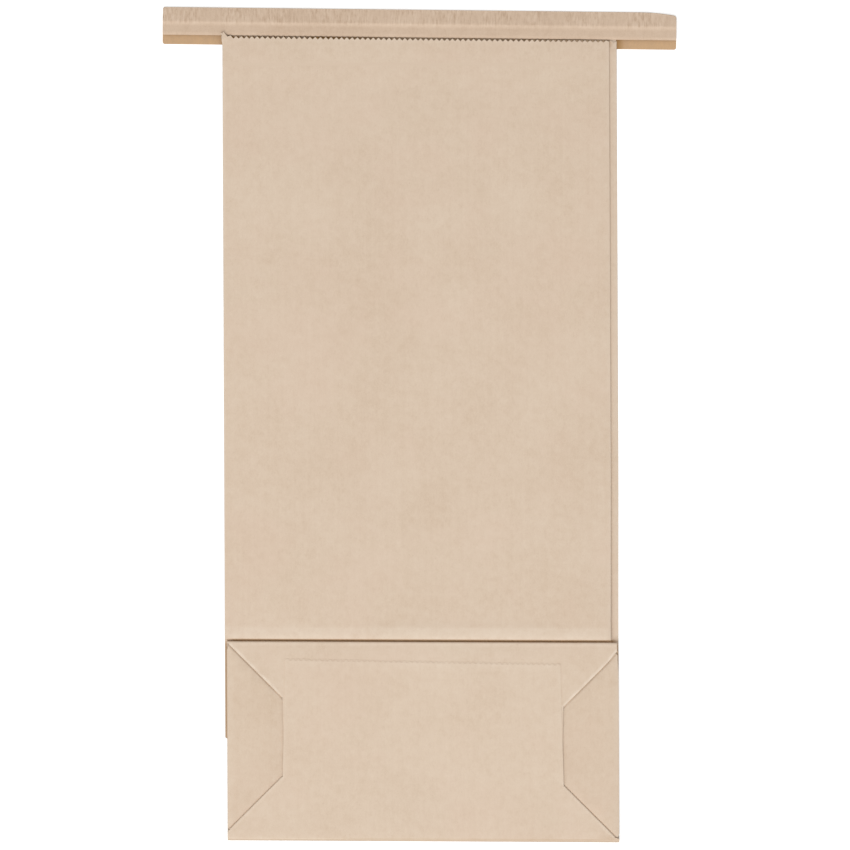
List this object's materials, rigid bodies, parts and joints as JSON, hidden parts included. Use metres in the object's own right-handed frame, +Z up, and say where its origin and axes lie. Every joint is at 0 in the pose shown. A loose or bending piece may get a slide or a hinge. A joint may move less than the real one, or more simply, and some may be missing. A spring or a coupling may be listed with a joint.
{
  "type": "window bakery bag",
  "caption": "Flat-folded kraft paper bag with side gussets, a folded square bottom, pinked mouth, tin tie closure and a film window in the hidden face.",
  "frame": {"origin": "middle of the footprint, on the surface that the bag lies on", "axes": "+X along the mouth, +Y from the bottom fold to the mouth, +Z up through the plies, with the window face down"},
  "size_m": [0.1572, 0.2566, 0.0021],
  "materials": {
    "kraft_paper": "uncoated natural kraft",
    "clear_film": "clear film",
    "tie_paper": "kraft strip, amber paste inside",
    "tie_wire": "bright soft wire"
  },
  "bodies": {
    "root": {"bag_body": "kraft_paper", "window_film": "clear_film", "tin_tie_strip": "tie_paper", "tin_tie_wire_lower": "tie_wire", "tin_tie_wire_upper": "tie_wire"}
  },
  "joints": []
}
